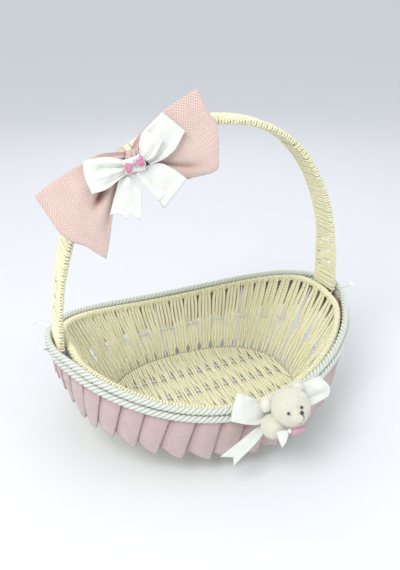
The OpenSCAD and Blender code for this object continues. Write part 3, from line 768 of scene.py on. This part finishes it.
grid_piece("bow_wing_right", bow, loop_grid(
    [(6, -4), (16, -2), (31, -8), (43, -14)], [(-2, 13), (4, 22), (10, 28), (25.5, 40.3), (55.6, 57.4)],
    [(43, -14), (67, -9.5), (70.4, 2), (70.4, 27), (63, 39.5), (55.6, 57.4)], 5.6, -1.6, 3.0,
    waves((1.9, 0.40, 0.60, 0.16, 0.0, 0.75), (-4.2, 0.10, 0.26, 0.10, 0.05, 0.85),
          (1.5, 0.75, 0.80, 0.2, 0.1, 0.8), (-1.2, 0.62, 0.72, 0.1, 0.0, 0.5)), 1.5, 48, 37),
    64, bow_mesh, ("pink_bow_right_wing",), deep=6.0)
grid_piece("bow_wing_left", bow, loop_grid(
    [(-11, -9), (-16, -16), (-22, -39), (-26, -56), (-30.5, -72.7)],
    [(-6, 11), (-22, 11), (-30, 9.7), (-42, 4.1), (-61, -5), (-80.3, -17.3)],
    [(-30.5, -72.7), (-38, -67), (-46, -60.5), (-54, -57), (-64, -49), (-73, -32), (-80.3, -17.3)],
    5.4, -1.6, 3.0,
    waves((-8.0, 0.55, 0.45, 0.10, 0.15, 0.66), (2.4, 0.30, 0.28, 0.15, 0.0, 0.85),
          (2.2, 0.78, 0.76, 0.14, 0.0, 0.8), (-1.5, 0.08, 0.10, 0.08, 0.0, 0.7)), 1.5, 48, 37),
    64, bow_mesh, ("pink_bow_left_wing",), deep=6.0)
grid_piece("bow_band", bow, band_grid((-11.2, -6.4, -11.8, 11.8), (6.4, 3.6, -4.9, 13.8), -6.2, 7.9, 3.0),
           22, bow_mesh, ("pink_bow_band",))

grid_piece("satin_loop_left", bow, loop_grid(
    [(-9, -6.5), (-17, -12), (-26, -17.5), (-35.5, -19.8)], [(-8.4, 4), (-17, 6.7), (-27, 7.8), (-39.7, 6.3)],
    [(-35.5, -19.8), (-39.6, -6.5), (-39.7, 6.3)], 13.6, 8.9, 12.6,
    waves((1.7, 0.75, 0.9, 0.12, 0.0, 0.8), (1.8, 0.35, 0.45, 0.12, 0.05, 0.85),
          (-2.2, 0.55, 0.68, 0.09, 0.0, 0.75),
          (-1.6, 0.1, 0.15, 0.1, 0.0, 0.7), (0.9, 0.5, 0.5, 0.6, 0.5, 0.62)), 2.0),
    RIBBON, satin, ("satin_left_loop",))
grid_piece("satin_loop_outer_right", bow, loop_grid(
    [(12, -1), (22, 2.5), (28, 6), (34, 11), (42, 23.5)], [(4, 9), (5, 20), (8.5, 26), (24, 39)],
    [(42, 23.5), (24, 39)], 11.4, 8.7, 10.0,
    waves((1.2, 0.5, 0.6, 0.2, 0.3, 0.95), (-1.2, 0.2, 0.25, 0.1, 0.0, 0.8),
          (-1.0, 0.85, 0.8, 0.1, 0.0, 0.8)), 0.9),
    RIBBON, satin, ("satin_outer_right_loop",))
grid_piece("satin_loop_inner_right", bow, loop_grid(
    [(8, 2.5), (13, 4.6), (17.6, 9.3), (22.5, 17)], [(2.8, 9), (3.2, 14), (4.2, 19), (7.7, 25.5)],
    [(22.5, 17), (14.6, 22.3), (7.7, 25.5)], 15.2, 12.7, 13.8,
    waves((1.0, 0.5, 0.45, 0.2, 0.05, 0.8), (-0.9, 0.15, 0.2, 0.1, 0.0, 0.8),
          (-0.8, 0.85, 0.85, 0.1, 0.0, 0.8)), 1.0),
    18, satin, ("satin_inner_right_loop",))
grid_piece("satin_tail_left", bow, tail_grid(
    [(-10, -6.5), (-17.3, -18.4), (-24.9, -38.1)], [(0, -7), (2.8, -20), (0, -44.7)],
    [(-24.9, -38.1), (-17.2, -38.4), (-11.4, -43), (-7.7, -37.2), (-6.1, -42), (0, -44.7)],
    lambda t, v: 9.6 + 1.5 * bump((v - 0.5) / 0.22) * bump((t - 0.28) / 0.22)
                 - 1.2 * bump((v - 0.1) / 0.15) * (1 - t)
    + 0.5 * np.sin(5 * t + 2 * v)),
    RIBBON, satin, ("satin_left_tail",))
grid_piece("satin_tail_right", bow, tail_grid(
    [(2.2, -7), (4, -15), (16.2, -30.5)], [(8, -1.5), (20, 0), (30, -5), (41.8, -14.3)],
    [(16.2, -30.5), (23, -25.8), (26.7, -26.7), (18.5, -35.4), (21, -36.6), (41.8, -14.3)],
    lambda t, v: 9.6 + 1.6 * bump((v - 0.42) / 0.18) * bump((t - 0.3) / 0.28)
                 - 1.1 * bump((v - 0.85) / 0.2) * (1 - t)
    + 0.4 * np.sin(4 * t + 3 * v)),
    RIBBON, satin, ("satin_right_tail",))
grid_piece("satin_knot_ribbon", bow,
           band_grid((-9.9, -11.0, -7.2, 4.2), (7.4, 5.4, -4.6, 8.6), 8.5, 15.9, 2.5, 0.5),
           RIBBON, satin, ("satin_knot",))

# ---- brooch: two fan-shaped faceted stones, a small one between them and a drop, in a metal edge ----
def cut_stone(pile, outline, low, girdle, crown, table):
    """A faceted stone: an upright girdle, sloping crown facets and a flat table."""
    outline = np.asarray(outline, float)
    middle, n = outline.mean(0), len(outline)
    between = (outline + np.roll(outline, -1, 0)) / 2
    star = middle + (between - middle) * (1 + table) / 2
    top = middle + (outline - middle) * table
    rings = [(outline, low), (outline, low + girdle), (star, low + girdle + crown * 0.6),
             (top, low + girdle + crown)]
    points = np.concatenate([np.column_stack([ring, np.full(n, z)]) for ring, z in rings])
    i = np.arange(n)
    j = (i + 1) % n
    quads = np.stack([i, j, j + n, i + n], 1)
    facets = np.concatenate([np.stack([i + n, j + n, i + 2 * n], 1),
                             np.stack([j + n, j + 3 * n, i + 2 * n], 1),
                             np.stack([i + n, i + 2 * n, i + 3 * n], 1),
                             np.stack([i + 2 * n, j + 3 * n, i + 3 * n], 1)])
    pile.add(into(bow, points), [quads, facets, (i + 3 * n)[None], i[None, ::-1]])


def grown(outline, by):
    outline = np.asarray(outline, float)
    middle = outline.mean(0)
    away = outline - middle
    return middle + away * (1 + by / np.linalg.norm(away, axis=1, keepdims=True))


STONE_OUTLINES = [
    [(-11.2, 0.4), (-10.6, 1.9), (-7.2, 1.2), (-3.9, 1.1), (-3.8, -1.2), (-5.4, -5.6), (-8.0, -6.4),
     (-9.3, -5.2)],
    [(-1.2, 4.4), (1.5, 7.2), (4.4, 6.6), (5.8, 3.2), (6.5, -0.2), (3.7, -1.9), (1.2, -1.2),
     (-0.4, 0.2)],
    [(-3.2, 0.9), (-2.2, 2.9), (-1.3, 2.2), (-1.2, 0.4), (-2.0, -0.7), (-3.1, -0.3)],
    [(-8.0, -7.4), (-6.9, -6.7), (-6.2, -7.6), (-7.0, -9.2)],
]
gems, mount = Pile(), Pile()
for outline in STONE_OUTLINES:
    cut_stone(gems, outline, 16.9, 0.5, 1.5, 0.5)
    cut_stone(mount, grown(outline, 0.6), 16.1, 1.0, 0.3, 0.9)
piece("brooch_gems", gems.mesh("brooch_gems", smooth=False), stone, ("brooch_stones",))
piece("brooch_mount", mount.mesh("brooch_mount", smooth=False), silver, ("brooch_setting",))


STRAP_ROOM = 0.7  # between the winding and the strap


def strap_ring():
    """The bow's strap round the handle: its line round the winding, at points across its width."""
    q = np.linspace(0, 2 * np.pi, 64, endpoint=False)
    c, s = (np.sign(f(q)) * abs(f(q)) ** 0.25 for f in (np.cos, np.sin))
    t = np.radians(117 + 3.3 * np.linspace(-1, 1, 9))
    line = arch_point(t)
    along = unit(arch_point(t + 1e-4) - line)
    normal = np.stack([-along[:, 2], 0 * t, along[:, 0]], 1)
    return line[None] + ((HANDLE_WIDE + STRAP_ROOM) * c)[:, None, None] * np.array([0, 1.0, 0]) \
        + ((HANDLE_DEEP + STRAP_ROOM) * s)[:, None, None] * normal[None]


grid_piece("bow_strap_ribbon", np.eye(4), strap_ring(), 14, bow_mesh, ("bow_strap",),
           closed=True)

# ---- bow on the rim ----
front = tilted_frame((12.9, -124.1, 65.8), -6, 30)
grid_piece("rim_loop_left", front, loop_grid(
    [(-7.5, -6), (-17, -12), (-29, -10), (-42, -5)], [(-7.5, 6), (-19, 11), (-32, 18)],
    [(-42, -5), (-38, 7), (-32, 18)], 6.4, 1.6, 4.2,
    waves((1.0, 0.5, 0.5, 0.25, 0.1, 0.9), (-1.4, 0.2, 0.15, 0.12, 0.0, 0.6),
          (-1.2, 0.82, 0.85, 0.12, 0.0, 0.6)), 1.1),
    RIBBON, satin, ("rim_bow_left_loop",))
head_at, head_r = np.array([6.6, 0.6, 21.6]), 17.5


def clear_of_head(grid):
    """Presses a ribbon's points back where the head lies on it."""
    d = grid - head_at
    reach = np.linalg.norm(d[..., :2], axis=-1)
    top = head_at[2] - np.sqrt(np.maximum((head_r + 1.0) ** 2 - reach ** 2, 0))
    inside = reach < head_r + 1.0
    grid[..., 2] = np.where(inside, np.minimum(grid[..., 2], np.maximum(top, 1.2)), grid[..., 2])
    return grid


grid_piece("rim_loop_right", front, clear_of_head(loop_grid(
    [(13, -5), (24, -5), (35, -3), (48, 1)], [(13, 5), (23, 15), (33, 19), (42, 20)],
    [(48, 1), (50, 9), (42, 20)], 12.5, 3.0, 3.6,
    waves((2.4, 0.62, 0.6, 0.22, 0.2, 0.95), (-2.4, 0.35, 0.3, 0.12, 0.1, 0.8)), 1.4)),
    RIBBON, satin, ("rim_bow_right_loop",))
grid_piece("rim_tail", front, tail_grid(
    [(-5.5, -6.3), (-17.6, -24), (-46, -43)], [(-8.6, -6.8), (-16.8, -13.4), (-57, -33)],
    [(-46, -43), (-45, -36), (-57, -33)], lambda t, v: 1.7 + 0.35 * np.sin(4 * t + 2 * v)),
    RIBBON, satin, ("rim_bow_tail",))
grid_piece("rim_knot", front,
           band_grid((-7.6, -7.6, -5.8, 5.8), (12.6, 12.6, -5.8, 5.8), 1.2, 3.7, 2.5, 0.15),
           20, satin, ("rim_bow_knot",))


# ---- plush bear ----
MUZZLE_AT, MUZZLE_R = np.array([7.1, -4.4, 33.1]), 7.6
SEAM_DEPTH = 0.5
NAP = np.array([0.25, -0.75, 0.2])  # the way in which the fibres lean


def ball_grid(rings=72, sides=96):
    """Directions over a sphere, poles along v, with the faces between them."""
    polar = np.linspace(0.02, np.pi - 0.02, rings)
    around = np.linspace(0, 2 * np.pi, sides, endpoint=False)
    d = np.stack([np.sin(polar)[:, None] * np.cos(around),
                  np.broadcast_to(np.cos(polar)[:, None], (rings, sides)),
                  np.sin(polar)[:, None] * np.sin(around)], -1)
    faces = [tube_faces(rings, sides), np.arange(sides)[None, ::-1],
             (rings - 1) * sides + np.arange(sides)[None, :]]
    return d.reshape(-1, 3), faces


def fibres(pile, points, normals, count, length, width):
    """Short fine blades that stand out of a plush surface and lean with the nap."""
    pick = rng.integers(0, len(points), count)
    root = points[pick] + rng.normal(0, 0.25, (count, 3))
    n = normals[pick]
    lean = unit(n * 0.9 + NAP * rng.uniform(0.4, 1.1, (count, 1)) + rng.normal(0, 0.35, (count, 3)))
    side = unit(np.cross(lean, rng.normal(0, 1, (count, 3)))) * width
    reach = length * rng.uniform(0.5, 1.2, (count, 1))
    low, tip = root - n * 0.4, root + lean * reach
    quads = np.stack([low - side, low + side, tip + side * 0.25, tip - side * 0.25], 1).reshape(-1, 3)
    pile.add(quads, [np.arange(4 * count).reshape(-1, 4)], tone=rng.random())


def plush_piece(name, base, surface, count, length, hidden, material=plush):
    directions, faces = ball_grid()
    points = surface(directions)
    rough = rng.normal(0, 0.05, (len(points), 1)) * directions
    pile = Pile()
    pile.add(into(base, points + rough), faces, tone=0.5)
    skin = into(base, points)
    normals = unit(skin - skin.mean(0))
    keep = rng.random(len(points)) < np.sqrt(1 - directions[:, 1] ** 2)  # the grid is denser at its poles
    fibres(pile, skin[keep], normals[keep], count, length, 0.07)
    obj = piece(name, pile.mesh(name), material, hidden)
    return obj


muzzle_from_head = MUZZLE_AT - head_at


def head_surface(d):
    """Head and muzzle in one skin: the outer of two balls in each direction, softly joined, with seams."""
    along = d @ muzzle_from_head
    inner = along ** 2 - muzzle_from_head @ muzzle_from_head + MUZZLE_R ** 2
    muzzle = np.where((inner > 0) & (along > 0), along + np.sqrt(np.maximum(inner, 0)), 0)
    sharp, about = 1.1, 17  # how tight the join is, and a radius to measure from
    r = np.log(np.exp((head_r - 0.5 - about) * sharp) + np.exp((muzzle - about) * sharp)) / sharp + about
    face = unit(np.array([0.3, 1.0, 0.55]))
    across = unit(np.cross(face, [0, 0, 1.0]))
    seam = bump((d @ across) / 0.02) * (d[:, 2] > 0.2) * (d[:, 1] > -0.6)
    crossing = bump((d[:, 1] + 0.42 + 0.1 * d[:, 0]) / 0.02) * (d[:, 2] > 0.3)
    r = r - SEAM_DEPTH * np.maximum(seam, 0.6 * crossing)
    cheek = 0.5 * bump((d @ unit(np.array([-0.75, -0.3, 0.5])) - 1) / 0.25)
    return head_at + d * (r + cheek)[:, None]


plush_piece("bear_head_plush", front, head_surface, 9000, 0.9, ("bear_head", "bear_muzzle"))
body_at = np.array([-9, -14, 14])
plush_piece("bear_body_plush", front, lambda d: body_at + d * np.array([10.6, 10.8, 10.4]), 3500, 0.9,
            ("bear_body",))
EARS = (("near", (-13.2, 6.0, 16.0), (-0.35, 0.15, 0.9)),
        ("far", (15, 16.5, 22.5), (0.3, 0.5, 0.8)))
for side_name, ear_at, tip in EARS:
    ear_at = np.array(ear_at)
    away = unit(ear_at - head_at)
    facing = unit(np.array(tip) - (np.array(tip) @ away) * away)
    third = np.cross(facing, away)
    turned = np.stack([away * 5.4, third * 6.9, facing * 3.0], 1)
    plush_piece("bear_ear_" + side_name, front,
                lambda d, m=turned, at=ear_at, f=facing: at + d @ m.T - f * (1.6 * bump(np.linalg.norm(
                    d[:, :2], axis=1, keepdims=True) / 0.5) * (d[:, 2:3] > 0)), 900, 0.7, ("bear_ears",))
    plush_piece("bear_ear_pad_" + side_name, front,
                lambda d, m=turned, at=ear_at, f=facing: at + f * 1.3 + (d @ m.T) * 0.66, 500, 0.5,
                ("bear_ears",), inner_ear)

stitch = Pile()
nose_at = MUZZLE_AT + unit(np.array([0, 2, 7.6])) * 8.6
mouth = through([nose_at + (0.6, -1.2, -0.3), nose_at + (2.2, -4.0, -1.1), nose_at + (2.0, -6.6, -2.6),
                 nose_at + (0.6, -8.4, -4.2), nose_at + (-1.4, -9.4, -5.6)], np.linspace(0, 1, 20))
add_cord(stitch, into(front, mouth), [0.0, 1.0, 0.0], 0.28, 0.28, 0.0, pitch=1.6, step=0.25, section=ROUND)
thread = simple_material("thread", (0.03, 0.025, 0.025), (0.08, 0.07, 0.07), Roughness=0.7)
piece("bear_mouth_stitch", stitch.mesh("bear_mouth_stitch"), thread)

tie = front @ np.array(Matrix.Translation(Vector((0.7, -18.5, 25.3))))


def small_wing(name, lower, upper, end, material, hidden):
    grid_piece(name, tie, loop_grid(lower, upper, end, 1.05, -1.05, 0.4,
                                    waves((0.35, 0.5, 0.5, 0.25, 0.1, 0.9), (-0.3, 0.15, 0.2, 0.12, 0, 0.7)),
                                    0.4, 20, 15),
               8, material, hidden, thickness=0.25)


small_wing("bear_tie_white", [(-1.8, -3), (-5, -8), (-8.8, -11.7)], [(-1.8, 0.8), (-6, 2.0), (-11.6, 1.9)],
           [(-8.8, -11.7), (-10.5, -5), (-11.6, 1.9)], satin, ("bear_tie_white_wing",))
small_wing("bear_tie_pink", [(1.8, -4), (8, -3), (14, -1.5)], [(1.8, 0.4), (8, 1.2), (14.5, 1)],
           [(14, -1.5), (14.6, 0), (14.5, 1)], glitter, ("bear_tie_pink_wing",))
knot_points, knot_faces = ball_grid(20, 28)
knot_pile = Pile()
pucker = 1 - 0.12 * np.cos(9 * np.arctan2(knot_points[:, 2], knot_points[:, 0]))[:, None] ** 2
knot_pile.add(into(tie, knot_points * np.array([1.9, 2.25, 2.0]) * pucker), knot_faces, cloth=knot_points * 4)
piece("bear_tie_centre", knot_pile.mesh("bear_tie_centre"), satin, ("bear_tie_knot",))

# ---- floor, light and camera ----
def look_at(obj, place, target):
    obj.location = Vector(place) * MM
    obj.rotation_euler = (Vector(target) - Vector(place)).to_track_quat("-Z", "Y").to_euler()


stage_mesh = bpy.data.meshes.new("stage_floor")
STAGE = 40.0
stage_mesh.from_pydata([(-STAGE, -STAGE, 0), (STAGE, -STAGE, 0), (STAGE, STAGE, 0), (-STAGE, STAGE, 0)], [],
                       [(0, 1, 2, 3)])
stage_floor = bpy.data.objects.new("stage_floor", stage_mesh)
stage_floor.location.z = -0.0004
bpy.context.scene.collection.objects.link(stage_floor)
floor_shader = Shader("stage_pale", Roughness=0.9, Specular_IOR_Level=0.1, Base_Color=(0.80, 0.82, 0.84, 1))
stage_mesh.materials.append(floor_shader.material)


def area_light(name, place, target, size, energy, colour=(1, 1, 1)):
    light = bpy.data.lights.new(name, "AREA")
    light.shape, light.size, light.energy, light.color = "DISK", size, energy, colour
    obj = bpy.data.objects.new(name, light)
    bpy.context.scene.collection.objects.link(obj)
    look_at(obj, place, target)


area_light("key_light", (-700, -500, 1100), (0, 0, 100), 0.7, 9.5, (1.0, 0.985, 0.96))
area_light("fill_light", (900, -700, 600), (0, 0, 120), 1.2, 2.6, (0.94, 0.97, 1.0))
area_light("back_light", (300, 900, 900), (0, 0, 120), 1.0, 2)
world = bpy.data.worlds.new("studio")
bpy.context.scene.world = world
world.use_nodes = True
world.node_tree.nodes["Background"].inputs["Color"].default_value = (0.93, 0.95, 1.0, 1)
world.node_tree.nodes["Background"].inputs["Strength"].default_value = 0.80
bpy.context.scene.view_settings.view_transform = "Standard"

camera = bpy.data.objects.new("camera", bpy.data.cameras.new("camera"))
bpy.context.scene.collection.objects.link(camera)
forward = Vector((0.3593, 0.8179, -0.4494))
right = Vector((0.9155, -0.4022, 0))
upward = Vector((0.1807, 0.4114, 0.8934))
camera.matrix_world = Matrix.Translation(Vector((-217.8, -485.3, 399.6)) * MM) \
    @ Matrix((right, upward, -forward)).transposed().to_4x4()
camera.data.lens, camera.data.sensor_width = 37.42, 36.0
camera.data.clip_start = 0.01
bpy.context.scene.camera = camera
